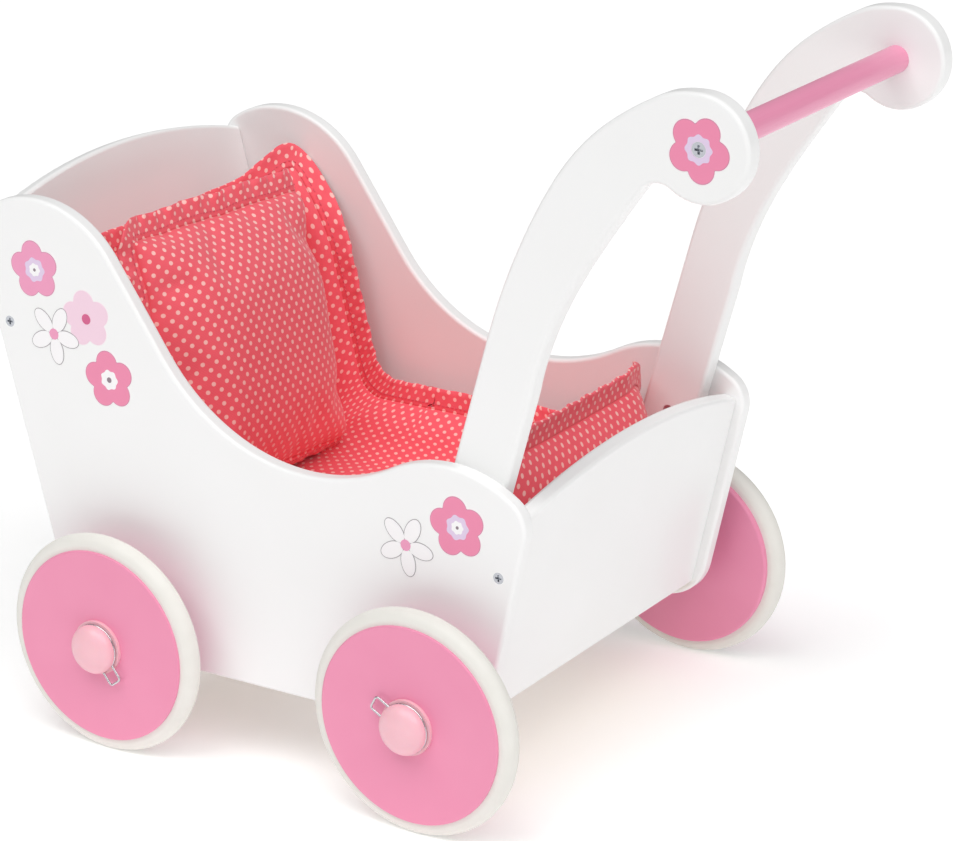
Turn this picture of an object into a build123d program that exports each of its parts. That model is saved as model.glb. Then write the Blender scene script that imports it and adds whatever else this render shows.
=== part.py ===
from build123d import *
import math
import os

# A wooden doll's stroller: white side and end panels, two curved arms joined by a round handle bar,
# four turned wheels with rubber tyres on two fixed steel axles, and two pieces of bedding.
#
# Frame: millimetres, +Z up with the floor at Z = 0, +X towards the handle, where the pusher stands,
# and -Y on the pusher's left. The origin is under the middle of the whole stroller's bounding box.

# ---- driving dimensions --------------------------------------------------------------------------

INNER_HALF = 118.0  # half the width of the tub, between the side panels
PANEL_T = 10.0  # thickness of the side and end panels
LEAN = 14.0  # lean of both ends of the tub, degrees from upright
BODY_BOTTOM = 50.0  # height of the side panels' lower edge
END_INSET = 6.0  # how far the side panels stand out past the end panels
ARRIS_R = 2.5  # rounding of the painted panels' long edges
END_EDGE_R = 1.2  # rounding of the end panels' upright edges, where they butt against the sides

FRONT_EDGE_X = -199.2  # the side panels' ends, at the height of their lower edge
REAR_EDGE_X = 94.3
LOWER_CORNER_R = 32.0
UPPER_CORNER_R = 20.0

HUMP_CENTRE = (-215.2, 261.0)  # the rounded hump over the head end
HUMP_R = 68.0
RAMP_ANGLE = 56.0  # slope of the top edge between hump and valley
RAMP_LENGTH = 65.0
VALLEY_R = 122.0
CREST_ANGLE = 28.0  # slope of the top edge between valley and crown
CROWN_R = 80.0

END_PANEL_BOTTOM = 66.0
HEAD_CORNER_Z = 312.0  # height of the head panel at its two sides
FOOT_CORNER_Z = 191.0
ARCH_RISE = 16.5  # how far both arches rise at their middle

ARM_T = 12.5
ARM_FOOT_Z = 93.0
ARM_ANGLE = 73.0  # rise of the arms' straight lower part
ARM_FRONT_X = 36.8  # the arms' front and rear edges, at the height of their foot
ARM_REAR_X = 74.3
ARM_HEAD = (231.3, 415.0)  # centre of the round head, and of the handle bar, in X and Z
ARM_HEAD_R = 30.0
ARM_NOTCH_R = 13.0
BAR_R = 8.0

AXLE_Z = 68.5
AXLE_X = {"front": -154.9, "rear": 68.5}
AXLE_R = 4.0
RUNNING_GAP = 0.05  # radial clearance of wheels on their axles
AXLE_END = 169.6  # half the axle's length

WHEEL_FACE = 162.0  # outer face of the wheel discs, from the middle of the stroller
WHEEL_T = 18.0
DISC_R = 60.0
TYRE_R = 68.5
TYRE_W = 13.0
TYRE_LIP = 1.6  # thickness of the disc's lip outside the tyre
TYRE_SEAT_R = 57.5
TYRE_SHOULDER_R = 62.3

CAP_FLANGE_R = 16.7
CAP_FLANGE_T = 2.2
CAP_GROOVE_R = 13.9
CAP_GROOVE_W = 2.0
CAP_R = 15.2
CAP_RIM_T = 1.0
CAP_DOME_H = 8.3
CLIP_WIRE_R = 0.7
CLIP_REACH = 24.0  # from the axle's centre to the end of the clip's finger loop
CLIP_HALF_W = 4.5
CLIP_ANGLE = {"front_left": -53.0, "rear_left": 150.0, "front_right": 35.0, "rear_right": -110.0}

BUSH_R = 7.0
BUSH_FLANGE_R = 11.0
BUSH_FLANGE_T = 1.6
SPACER_R = 7.5
AXIAL_GAP = 0.3

BEAM_W = 26.0  # the wooden axle beams under the floor
BEAM_TOP = 81.0
FLOOR_T = 6.0
BATTEN = 14.0

PAD_T = 36.0  # the long mattress, which runs up both ends of the tub
PAD_HALF_W = 104.5
PAD_HEAD_Z = 300.0
PAD_FOOT_Z = 206.0
PAD_BEND_R = 38.0
SOFT_GAP = 0.6

PILLOW_T = 44.0
PILLOW_H = 170.0
PILLOW_LIFT = 12.0  # of its foot above the mattress, in the bend
PILLOW_HALF_W = 103.0
PILLOW_SHIFT_Y = -6.0

STICKER_T = 0.3

SIDES = {"left": -1, "right": 1}
TAN_LEAN = math.tan(math.radians(LEAN))
COS_LEAN = math.cos(math.radians(LEAN))
FLOOR_TOP = BEAM_TOP + FLOOR_T
OUTER_HALF = INNER_HALF + PANEL_T

os.makedirs("parts", exist_ok=True)


def save(builder, name):
    """Labels a finished piece and writes it as one STEP file."""
    builder.part.label = name
    export_step(builder.part, f"parts/{name}.step")


def front_x(inset, z):
    """X of a line parallel to the tub's leaning front end, inset by a distance square to it."""
    return FRONT_EDGE_X - TAN_LEAN * (z - BODY_BOTTOM) + inset / COS_LEAN


def rear_x(inset, z):
    """X of a line parallel to the tub's leaning rear end, inset by a distance square to it."""
    return REAR_EDGE_X + TAN_LEAN * (z - BODY_BOTTOM) - inset / COS_LEAN


def upright_plane(side, y):
    """A plane in X and Z at distance y on one side, for a plate that is extruded outwards."""
    return Plane((0, SIDES[side] * y, 0), x_dir=(1, 0, 0), z_dir=(0, -1, 0))


def outwards(side, amount):
    """The signed depth that extrudes an upright plane's sketch away from the middle."""
    return -SIDES[side] * amount


# ---- screws --------------------------------------------------------------------------------------
# A countersunk wood screw stands head up on Z = 0 with its point down. The blank has the same outside
# and no cross recess, and cuts the seat in every piece of wood that the screw passes through.


def screw_pair(shank_r, head_r, length):
    """Returns the screw and its blank as two finished parts."""
    recess_w = 0.34 * head_r
    finished = []
    for recessed in (True, False):
        with BuildPart() as screw:
            with BuildSketch(Plane.XZ):
                with BuildLine():
                    Polyline(
                        (0, 0),
                        (head_r, 0),
                        (head_r, -0.4),
                        (shank_r, -0.4 - head_r + shank_r),
                        (shank_r, -length + 2 * shank_r),
                        (0, -length),
                        close=True,
                    )
                make_face()
            revolve(axis=Axis.Z)
            if recessed:
                with BuildSketch(Plane.XY):
                    Rectangle(1.2 * head_r, recess_w)
                    Rectangle(recess_w, 1.2 * head_r)
                extrude(amount=-0.45 * head_r, mode=Mode.SUBTRACT)
        finished.append(screw.part)
    return finished


panel_screw, panel_blank = screw_pair(shank_r=1.75, head_r=3.4, length=38)
bar_screw, bar_blank = screw_pair(shank_r=2.25, head_r=4.2, length=48)
arm_screw, arm_blank = screw_pair(shank_r=1.75, head_r=3.4, length=19)
floor_screw, floor_blank = screw_pair(shank_r=1.5, head_r=3.0, length=24)


def inward_planes(side, y, points):
    """Screw places on one side: heads at distance y, driven towards the middle."""
    sign = SIDES[side]
    return [Plane((x, sign * y, z), z_dir=(0, sign, 0)) for x, z in points]


def outward_planes(side, y, points):
    """Screw places on one side: heads at distance y, driven away from the middle."""
    sign = SIDES[side]
    return [Plane((x, sign * y, z), z_dir=(0, -sign, 0)) for x, z in points]


def place(part, planes, mode=Mode.ADD):
    """Adds or cuts a copy of a part at each plane, in the builder that is open."""
    with Locations(*planes):
        add(part, mode=mode)


HEAD_SCREWS_Z = (90.0, 249.5)
FOOT_SCREWS_Z = (90.0, 155.0)
HEAD_SCREWS = [(front_x(END_INSET + PANEL_T / 2, z), z) for z in HEAD_SCREWS_Z]
FOOT_SCREWS = [(rear_x(END_INSET + PANEL_T / 2, z), z) for z in FOOT_SCREWS_Z]
BEAM_SCREWS = [(x + dx, AXLE_Z) for x in AXLE_X.values() for dx in (-9.0, 9.0)]
BATTEN_X = (AXLE_X["front"] + BEAM_W / 2 + 1, AXLE_X["rear"] - BEAM_W / 2 - 1)
BATTEN_Z = BEAM_TOP - BATTEN / 2
BATTEN_SCREWS = [(BATTEN_X[0] + 30, BATTEN_Z), (BATTEN_X[1] - 30, BATTEN_Z)]
ARM_SCREWS_Z = (112.0, 178.0)
ARM_MID_X = (ARM_FRONT_X + ARM_REAR_X) / 2
ARM_SCREWS = [
    (ARM_MID_X + (z - ARM_FOOT_Z) / math.tan(math.radians(ARM_ANGLE)), z) for z in ARM_SCREWS_Z
]
FLOOR_SCREWS = [  # beside the axles, not over them
    Plane((x + 8, y, FLOOR_TOP), z_dir=(0, 0, 1)) for x in AXLE_X.values() for y in (-80, 0, 80)
]
AXLE_POINTS = [(x, AXLE_Z) for x in AXLE_X.values()]


# ---- side panels ---------------------------------------------------------------------------------
# One profile for both sides: the area under the swooping top edge, cut to the leaning ends.

for side in SIDES:
    with BuildPart() as side_panel:
        with BuildSketch(upright_plane(side, INNER_HALF)) as profile:
            with BuildLine():
                hump = CenterArc(HUMP_CENTRE, HUMP_R, 150, -RAMP_ANGLE - 60)
                ramp = PolarLine(hump @ 1, RAMP_LENGTH, direction=hump % 1)
                valley = JernArc(ramp @ 1, ramp % 1, VALLEY_R, RAMP_ANGLE + CREST_ANGLE)
                crown = JernArc(valley @ 1, valley % 1, CROWN_R, -CREST_ANGLE - 60)
                Polyline(
                    crown @ 1,
                    ((crown @ 1).X, BODY_BOTTOM),
                    ((hump @ 0).X, BODY_BOTTOM),
                    hump @ 0,
                )
            make_face()
            with BuildLine(mode=Mode.PRIVATE) as ends:
                Polyline(
                    (front_x(0, BODY_BOTTOM), BODY_BOTTOM),
                    (rear_x(0, BODY_BOTTOM), BODY_BOTTOM),
                    (rear_x(0, 350), 350),
                    (front_x(0, 350), 350),
                    close=True,
                )
            make_face(ends.edges(), mode=Mode.INTERSECT)
            fillet(profile.vertices().group_by(Axis.Y)[0], LOWER_CORNER_R)
            fillet(profile.vertices().sort_by(Axis.X)[-1], UPPER_CORNER_R)
            fillet(profile.vertices().sort_by(Axis.X)[0], UPPER_CORNER_R)
        extrude(amount=outwards(side, PANEL_T))
        flat_faces = side_panel.faces().filter_by(Axis.Y)
        fillet(flat_faces.edges(), ARRIS_R)
        place(panel_blank, inward_planes(side, OUTER_HALF, HEAD_SCREWS), Mode.SUBTRACT)
        place(panel_blank, inward_planes(side, OUTER_HALF, FOOT_SCREWS), Mode.SUBTRACT)
        place(panel_blank, inward_planes(side, OUTER_HALF, BEAM_SCREWS), Mode.SUBTRACT)
        batten_face = INNER_HALF - BATTEN
        place(arm_blank, outward_planes(side, batten_face, BATTEN_SCREWS), Mode.SUBTRACT)
        place(arm_blank, outward_planes(side, INNER_HALF - ARM_T, ARM_SCREWS), Mode.SUBTRACT)
        with Locations(*inward_planes(side, OUTER_HALF, AXLE_POINTS)):
            Hole(AXLE_R)
    save(side_panel, f"side_panel_{side}")


# ---- end panels ----------------------------------------------------------------------------------
# Each is an arched board between the side panels, made flat on its own leaning plane.


def end_panel(name, inner_x, corner_z, facing, screws):
    """An arched end board: inner_x(z) is its inner face, and facing is -1 at the front, 1 at the rear."""
    base = (inner_x(END_PANEL_BOTTOM), 0, END_PANEL_BOTTOM)
    lean = math.radians(LEAN)
    outward = (facing * math.cos(lean), 0, -math.sin(lean))
    height = (corner_z - END_PANEL_BOTTOM) / COS_LEAN
    with BuildPart() as board:
        with BuildSketch(Plane(base, x_dir=(0, facing, 0), z_dir=outward)):
            with BuildLine():
                arch = ThreePointArc(
                    (INNER_HALF, height), (0, height + ARCH_RISE / COS_LEAN), (-INNER_HALF, height)
                )
                Polyline(arch @ 1, (-INNER_HALF, 0), (INNER_HALF, 0), arch @ 0)
            make_face()
        extrude(amount=PANEL_T)
        arch_edges = board.edges().filter_by(GeomType.CIRCLE)
        fillet(arch_edges, ARRIS_R)
        lean_edges = board.edges().filter_by(lambda edge: abs((edge % 0.5).Z) > 0.9)
        fillet(lean_edges, END_EDGE_R)
        for side in SIDES:
            place(panel_blank, inward_planes(side, OUTER_HALF, screws), Mode.SUBTRACT)
    save(board, name)


def head_inner_x(z):
    """Inner face of the head panel."""
    return front_x(END_INSET + PANEL_T, z)


def foot_inner_x(z):
    """Inner face of the foot panel."""
    return rear_x(END_INSET + PANEL_T, z)


end_panel("head_panel", head_inner_x, HEAD_CORNER_Z, -1, HEAD_SCREWS)
end_panel("foot_panel", foot_inner_x, FOOT_CORNER_Z, 1, FOOT_SCREWS)


# ---- floor, axle beams and battens ---------------------------------------------------------------

with BuildPart() as floor_board:
    with BuildSketch(Plane.XZ):
        with BuildLine():
            Polyline(
                (head_inner_x(BEAM_TOP), BEAM_TOP),
                (foot_inner_x(BEAM_TOP), BEAM_TOP),
                (foot_inner_x(FLOOR_TOP), FLOOR_TOP),
                (head_inner_x(FLOOR_TOP), FLOOR_TOP),
                close=True,
            )
        make_face()
    extrude(amount=INNER_HALF, both=True)
    place(floor_blank, FLOOR_SCREWS, Mode.SUBTRACT)
save(floor_board, "floor_board")

for end, axle_x in AXLE_X.items():
    with BuildPart() as beam:
        with BuildSketch(Plane.XZ):
            with Locations((axle_x, AXLE_Z)):
                Rectangle(BEAM_W, 2 * (BEAM_TOP - AXLE_Z))
                Circle(AXLE_R, mode=Mode.SUBTRACT)
        extrude(amount=INNER_HALF, both=True)
        for side in SIDES:
            place(panel_blank, inward_planes(side, OUTER_HALF, BEAM_SCREWS), Mode.SUBTRACT)
        place(floor_blank, FLOOR_SCREWS, Mode.SUBTRACT)
    save(beam, f"axle_beam_{end}")

for side, sign in SIDES.items():
    with BuildPart() as batten:
        with BuildSketch(Plane.YZ.offset(BATTEN_X[0])):
            with Locations((sign * (INNER_HALF - BATTEN / 2), BATTEN_Z)):
                Rectangle(BATTEN, BATTEN)
        extrude(amount=BATTEN_X[1] - BATTEN_X[0])
        place(arm_blank, outward_planes(side, INNER_HALF - BATTEN, BATTEN_SCREWS), Mode.SUBTRACT)
    save(batten, f"floor_batten_{side}")


# ---- handle arms and bar -------------------------------------------------------------------------
# Each arm rises straight from the floor, bends back over the rear end and ends in a round head.


def arm_edge(x, z):
    """A point on a straight lower edge of the arm, which passes (x, ARM_FOOT_Z), at height z."""
    return (x + (z - ARM_FOOT_Z) / math.tan(math.radians(ARM_ANGLE)), z)


RISE = (math.cos(math.radians(ARM_ANGLE)), math.sin(math.radians(ARM_ANGLE)))
HEAD_TOP = (ARM_HEAD[0], ARM_HEAD[1] + ARM_HEAD_R)

for side in SIDES:
    with BuildPart() as arm:
        with BuildSketch(upright_plane(side, INNER_HALF - ARM_T)) as blade:
            with BuildLine():
                front = Line(arm_edge(ARM_FRONT_X, ARM_FOOT_Z), arm_edge(ARM_FRONT_X, 290))
                bow = Spline(
                    front @ 1,
                    (129.3, 366.0),
                    (168.3, 416.5),
                    (203.3, 439.0),
                    HEAD_TOP,
                    tangents=(RISE, (1, 0)),
                )
                rear = Line(arm_edge(ARM_REAR_X, ARM_FOOT_Z), arm_edge(ARM_REAR_X, 262))
                under = Spline(rear @ 1, (158.3, 335.0), (190.8, 381.0), (207.8, 404.5))
                Polyline(bow @ 1, ARM_HEAD, under @ 1)
                Line(front @ 0, rear @ 0)
            make_face()
            with Locations(ARM_HEAD):
                Circle(ARM_HEAD_R)
            notch = blade.vertices().sort_by_distance((205, 400))[0]
            fillet(notch, ARM_NOTCH_R)
            fillet(blade.vertices().group_by(Axis.Y)[0], 6)
        extrude(amount=outwards(side, ARM_T))
        flat_faces = arm.faces().filter_by(Axis.Y)
        fillet(flat_faces.edges(), ARRIS_R)
        place(bar_blank, inward_planes(side, INNER_HALF, [ARM_HEAD]), Mode.SUBTRACT)
        place(arm_blank, outward_planes(side, INNER_HALF - ARM_T, ARM_SCREWS), Mode.SUBTRACT)
    save(arm, f"handle_arm_{side}")

with BuildPart() as handle_bar:
    with BuildSketch(Plane.XZ):
        with Locations(ARM_HEAD):
            Circle(BAR_R)
    extrude(amount=INNER_HALF - ARM_T, both=True)
    for side in SIDES:
        place(bar_blank, inward_planes(side, INNER_HALF, [ARM_HEAD]), Mode.SUBTRACT)
save(handle_bar, "handle_bar")


# ---- the screws, one node for each kind of joint -------------------------------------------------


def screw_group(name, part, planes):
    """Writes a group of identical screws as one node of separate solids."""
    with BuildPart() as group:
        place(part, planes)
    save(group, name)


def both_sides(make_planes, y, points):
    """The same screw places on the left and on the right."""
    return make_planes("left", y, points) + make_planes("right", y, points)


screw_group("head_panel_screws", panel_screw, both_sides(inward_planes, OUTER_HALF, HEAD_SCREWS))
screw_group("foot_panel_screws", panel_screw, both_sides(inward_planes, OUTER_HALF, FOOT_SCREWS))
screw_group("axle_beam_screws", panel_screw, both_sides(inward_planes, OUTER_HALF, BEAM_SCREWS))
screw_group("handle_bar_screws", bar_screw, both_sides(inward_planes, INNER_HALF, [ARM_HEAD]))
screw_group("arm_screws", arm_screw, both_sides(outward_planes, INNER_HALF - ARM_T, ARM_SCREWS))
screw_group(
    "batten_screws", arm_screw, both_sides(outward_planes, INNER_HALF - BATTEN, BATTEN_SCREWS)
)
screw_group("floor_screws", floor_screw, FLOOR_SCREWS)


# ---- axles and spacers ---------------------------------------------------------------------------

CLIP_Y = WHEEL_FACE + CAP_FLANGE_T + CAP_GROOVE_W / 2
CLIP_NECK_R = 3.1
CLIP_NECK_W = 1.8
AXLE_CHAMFER = 0.6

for end, axle_x in AXLE_X.items():
    with BuildPart() as axle:
        with BuildSketch(Plane.XZ):
            with Locations((axle_x, AXLE_Z)):
                Circle(AXLE_R)
        extrude(amount=AXLE_END, both=True)
        chamfer(axle.edges(), AXLE_CHAMFER)
        for sign in SIDES.values():
            with BuildSketch(Plane.XZ.offset(-sign * (CLIP_Y - CLIP_NECK_W / 2))):
                with Locations((axle_x, AXLE_Z)):
                    Circle(AXLE_R + 1)
                    Circle(CLIP_NECK_R, mode=Mode.SUBTRACT)
            extrude(amount=-sign * CLIP_NECK_W, mode=Mode.SUBTRACT)
    save(axle, f"axle_{end}")

SPACER_LENGTH = WHEEL_FACE - WHEEL_T - BUSH_FLANGE_T - AXIAL_GAP - OUTER_HALF

with BuildPart() as spacers:
    for side in SIDES:
        with BuildSketch(upright_plane(side, OUTER_HALF)):
            with Locations(*AXLE_POINTS):
                Circle(SPACER_R)
                Circle(AXLE_R, mode=Mode.SUBTRACT)
        extrude(amount=outwards(side, SPACER_LENGTH))
save(spacers, "axle_spacers")


# ---- wheels --------------------------------------------------------------------------------------
# Every wheel piece is turned about its axle. In the profile plane X runs outwards along the axle and
# Y is the radius.

TYRE_OUT = WHEEL_FACE - TYRE_LIP
TYRE_IN = TYRE_OUT - TYRE_W
DISC_IN = WHEEL_FACE - WHEEL_T
BORE_R = AXLE_R + RUNNING_GAP
GROOVE_IN = WHEEL_FACE + CAP_FLANGE_T
GROOVE_OUT = GROOVE_IN + CAP_GROOVE_W
DOME_START = GROOVE_OUT + CAP_RIM_T
CAP_BORE_END = AXLE_END + 0.7
CLIP_RING_R = CAP_GROOVE_R + CLIP_WIRE_R + 0.05
CLIP_TANG_R = 3.5  # the tang's point stops just outside the axle's neck

for end, axle_x in AXLE_X.items():
    for side, sign in SIDES.items():
        corner = f"{end}_{side}"
        turning_plane = Plane((axle_x, 0, AXLE_Z), x_dir=(0, sign, 0), z_dir=(sign, 0, 0))
        turning_axis = Axis((axle_x, 0, AXLE_Z), (0, 1, 0))

        with BuildPart() as disc:
            with BuildSketch(turning_plane) as section:
                with BuildLine():
                    Polyline(
                        (DISC_IN, BUSH_R),
                        (WHEEL_FACE, BUSH_R),
                        (WHEEL_FACE, DISC_R),
                        (TYRE_OUT, DISC_R),
                        (TYRE_OUT, TYRE_SEAT_R),
                        (TYRE_IN, TYRE_SEAT_R),
                        (TYRE_IN, DISC_R),
                        (DISC_IN, DISC_R),
                        close=True,
                    )
                make_face()
                fillet(section.vertices().sort_by_distance((WHEEL_FACE, DISC_R))[0], 0.9)
                fillet(section.vertices().sort_by_distance((DISC_IN, DISC_R))[0], 1.5)
            revolve(axis=turning_axis)
        save(disc, f"wheel_disc_{corner}")

        with BuildPart() as tyre:
            with BuildSketch(turning_plane):
                with BuildLine():
                    crown = ThreePointArc(
                        (TYRE_IN, TYRE_SHOULDER_R),
                        ((TYRE_IN + TYRE_OUT) / 2, TYRE_R),
                        (TYRE_OUT, TYRE_SHOULDER_R),
                    )
                    Polyline(crown @ 1, (TYRE_OUT, TYRE_SEAT_R), (TYRE_IN, TYRE_SEAT_R), crown @ 0)
                make_face()
            revolve(axis=turning_axis)
        save(tyre, f"tyre_{corner}")

        with BuildPart() as bush:
            with BuildSketch(turning_plane):
                with BuildLine():
                    Polyline(
                        (DISC_IN - BUSH_FLANGE_T, BORE_R),
                        (WHEEL_FACE, BORE_R),
                        (WHEEL_FACE, BUSH_R),
                        (DISC_IN, BUSH_R),
                        (DISC_IN, BUSH_FLANGE_R),
                        (DISC_IN - BUSH_FLANGE_T, BUSH_FLANGE_R),
                        close=True,
                    )
                make_face()
            revolve(axis=turning_axis)
        save(bush, f"wheel_bush_{corner}")

        clip_angle = math.radians(CLIP_ANGLE[corner])
        clip_plane = Plane(
            (axle_x, sign * CLIP_Y, AXLE_Z),
            x_dir=(math.cos(clip_angle), 0, math.sin(clip_angle)),
            z_dir=(0, sign, 0),
        )
        tang_plane = Plane(clip_plane.from_local_coords((0, 0, 0)), z_dir=-clip_plane.x_dir)

        with BuildPart() as cap:
            with BuildSketch(turning_plane):
                with BuildLine():
                    dome = EllipticalCenterArc((DOME_START, 0), CAP_DOME_H, CAP_R, 0, arc_size=90)
                    Polyline(
                        dome @ 1,
                        (GROOVE_OUT, CAP_R),
                        (GROOVE_OUT, CAP_GROOVE_R),
                        (GROOVE_IN, CAP_GROOVE_R),
                        (GROOVE_IN, CAP_FLANGE_R),
                        (WHEEL_FACE, CAP_FLANGE_R),
                        (WHEEL_FACE, BORE_R),
                        (CAP_BORE_END, BORE_R),
                        (CAP_BORE_END, 0),
                        dome @ 0,
                    )
                make_face()
            revolve(axis=turning_axis)
            with BuildSketch(tang_plane):
                Circle(CLIP_WIRE_R + 0.2)
            extrude(amount=CAP_R + 1, mode=Mode.SUBTRACT)
        save(cap, f"hub_cap_{corner}")

        with BuildPart() as clip:
            gap = math.degrees(math.asin(CLIP_HALF_W / CLIP_RING_R))
            with BuildLine(clip_plane):
                ring = CenterArc((0, 0), CLIP_RING_R, gap, 360 - 2 * gap)
            with BuildSketch(Plane(ring @ 0, z_dir=ring % 0)):
                Circle(CLIP_WIRE_R)
            sweep(path=ring)
            with BuildLine(clip_plane):
                loop = FilletPolyline(
                    (CLIP_RING_R * math.cos(math.radians(gap)), CLIP_HALF_W),
                    (CLIP_REACH, CLIP_HALF_W),
                    (CLIP_REACH, -CLIP_HALF_W),
                    (CLIP_RING_R * math.cos(math.radians(gap)), -CLIP_HALF_W),
                    radius=2,
                )
            with BuildSketch(Plane(loop @ 0, z_dir=loop % 0)):
                Circle(CLIP_WIRE_R)
            sweep(path=loop)
            with Locations(ring @ 0, ring @ 1):
                Sphere(CLIP_WIRE_R)
            with BuildSketch(tang_plane.offset(CLIP_TANG_R)):
                Circle(CLIP_WIRE_R)
            extrude(amount=CLIP_RING_R - CLIP_TANG_R)
        save(clip, f"hub_clip_{corner}")


# ---- bedding -------------------------------------------------------------------------------------
# The mattress is one long pad that leans on the head panel, lies on the floor and turns up at the
# foot. The pillow leans on its head end. Both lie loose.


def pad_line(depth, head_z, foot_z):
    """The corners of a line at one depth inside the tub: down the head end, along the floor, up the foot."""
    inset = END_INSET + PANEL_T + depth
    floor_z = FLOOR_TOP + depth
    return [
        (front_x(inset, head_z), head_z),
        (front_x(inset, floor_z), floor_z),
        (rear_x(inset, floor_z), floor_z),
        (rear_x(inset, foot_z), foot_z),
    ]


with BuildPart() as mattress:
    with BuildSketch(Plane.XZ):
        with BuildLine():
            middle = SOFT_GAP + PAD_T / 2
            FilletPolyline(
                *pad_line(middle, PAD_HEAD_Z - PAD_T / 2, PAD_FOOT_Z - PAD_T / 2),
                radius=PAD_BEND_R,
            )
            offset(amount=PAD_T / 2, kind=Kind.ARC, side=Side.BOTH, mode=Mode.REPLACE)
        make_face()
    extrude(amount=PAD_HALF_W, both=True)
save(mattress, "mattress")

PILLOW_BACK = SOFT_GAP + PAD_T + SOFT_GAP  # from the head panel to the pillow's back
PILLOW_FOOT_Z = FLOOR_TOP + SOFT_GAP + PAD_T + PILLOW_LIFT
pillow_base = (head_inner_x(PILLOW_FOOT_Z) + PILLOW_BACK / COS_LEAN, 0, PILLOW_FOOT_Z)
lean_rad = math.radians(LEAN)
pillow_plane = Plane(
    pillow_base, x_dir=(0, 1, 0), z_dir=(math.cos(lean_rad), 0, math.sin(lean_rad))
)

with BuildPart() as pillow:
    with BuildSketch(pillow_plane):
        with Locations((PILLOW_SHIFT_Y, PILLOW_H / 2)):
            RectangleRounded(2 * PILLOW_HALF_W, PILLOW_H, 14)
    extrude(amount=PILLOW_T)
    fillet(pillow.faces().filter_by(Plane(origin=(0, 0, 0), z_dir=pillow_plane.z_dir)).edges(), 13)
save(pillow, "pillow")


# ---- flower stickers -----------------------------------------------------------------------------
# Thin vinyl flowers on the outside of the panels, and one round each screw that holds the handle bar.
# Most have five round petals. The daisies have five long petals that meet at the middle.

UPRIGHT, HANGING = 98.0, -82.0  # direction of a flower's first petal, in degrees
ROUND_FLOWERS = [  # x, z, size across
    (-215.5, 285.0, 37),
    (-178.0, 260.3, 36),
    (-163.0, 225.0, 37),
    (82.5, 180.0, 38),
]
DAISIES = [(-203.5, 247.0, 38), (47.0, 162.5, 38)]
ARM_FLOWER_SIZE = 38
ARM_FLOWER_HOLE_R = 4.4


def round_flower(x, z, size, first_petal):
    """A flower of five round petals, in the sketch that is open."""
    with Locations((x, z)):
        Circle(0.24 * size)
        with PolarLocations(0.28 * size, 5, start_angle=first_petal):
            Circle(0.22 * size)


def daisy(x, z, size):
    """A flower of five long petals, in the sketch that is open."""
    with Locations((x, z)):
        Circle(0.09 * size)
        with PolarLocations(0.275 * size, 5, start_angle=HANGING):
            Ellipse(0.225 * size, 0.135 * size)


for side in SIDES:
    with BuildPart() as stickers:
        with BuildSketch(upright_plane(side, OUTER_HALF)):
            for place_and_size in ROUND_FLOWERS:
                round_flower(*place_and_size, UPRIGHT)
            for place_and_size in DAISIES:
                daisy(*place_and_size)
        extrude(amount=outwards(side, STICKER_T))
    save(stickers, f"flower_stickers_{side}")
    with BuildPart() as arm_sticker:
        with BuildSketch(upright_plane(side, INNER_HALF)):
            round_flower(*ARM_HEAD, ARM_FLOWER_SIZE, HANGING)
            with Locations(ARM_HEAD):
                Circle(ARM_FLOWER_HOLE_R, mode=Mode.SUBTRACT)
        extrude(amount=outwards(side, STICKER_T))
    save(arm_sticker, f"arm_sticker_{side}")
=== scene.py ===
# %% [markdown]
# # A wooden doll's stroller
# The stroller is a white painted tub on four pink wheels, with two curved arms, a round handle
# bar and a set of dotted bedding. The exact parts come as a fixed frame: boards, bars, wheels and
# screws. This lesson gives those parts their finishes, and makes the two soft pieces and the
# printed flowers.

# %% Load the frame
import math

import bmesh
import bpy
import numpy as np
from mathutils import Matrix, Vector


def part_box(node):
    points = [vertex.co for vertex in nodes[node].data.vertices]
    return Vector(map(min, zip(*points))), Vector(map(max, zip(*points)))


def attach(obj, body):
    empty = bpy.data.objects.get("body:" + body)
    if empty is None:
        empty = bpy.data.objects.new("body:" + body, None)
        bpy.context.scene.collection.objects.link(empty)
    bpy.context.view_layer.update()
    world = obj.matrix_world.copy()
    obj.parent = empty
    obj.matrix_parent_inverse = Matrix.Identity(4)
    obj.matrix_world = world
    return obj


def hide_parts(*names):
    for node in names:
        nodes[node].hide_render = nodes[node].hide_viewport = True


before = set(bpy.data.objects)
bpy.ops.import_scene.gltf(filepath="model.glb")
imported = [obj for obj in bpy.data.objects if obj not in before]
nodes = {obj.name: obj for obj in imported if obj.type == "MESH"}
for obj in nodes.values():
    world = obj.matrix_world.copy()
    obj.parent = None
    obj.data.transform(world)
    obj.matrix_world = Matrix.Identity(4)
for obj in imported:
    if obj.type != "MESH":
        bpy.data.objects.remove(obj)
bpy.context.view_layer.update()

MM = 0.001
print("parts in the frame:", len(nodes))

# %% [markdown]
# ## Camera
# A catalogue picture is taken from far away with a long lens, so that the boards stay nearly
# parallel. The camera stands on the pusher's left, above the handle, and looks down on the tub.
# Its direction is given by two angles and a slight roll, which are turned into the three axes of
# its own frame.

# %% Camera
AZIMUTH = math.radians(33.71)
ELEVATION = math.radians(19.60)
ROLL = math.radians(-1.22)
EYE = Vector((1.0973, -1.6256, 0.8874))
LENS_MM = 130.96

back = Vector(
    (
        math.sin(AZIMUTH) * math.cos(ELEVATION),
        -math.cos(AZIMUTH) * math.cos(ELEVATION),
        math.sin(ELEVATION),
    )
)
level = Vector((0, 0, 1)).cross(back).normalized()
right = math.cos(ROLL) * level + math.sin(ROLL) * back.cross(level)
turned = Matrix((right, back.cross(right), back)).transposed()

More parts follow.
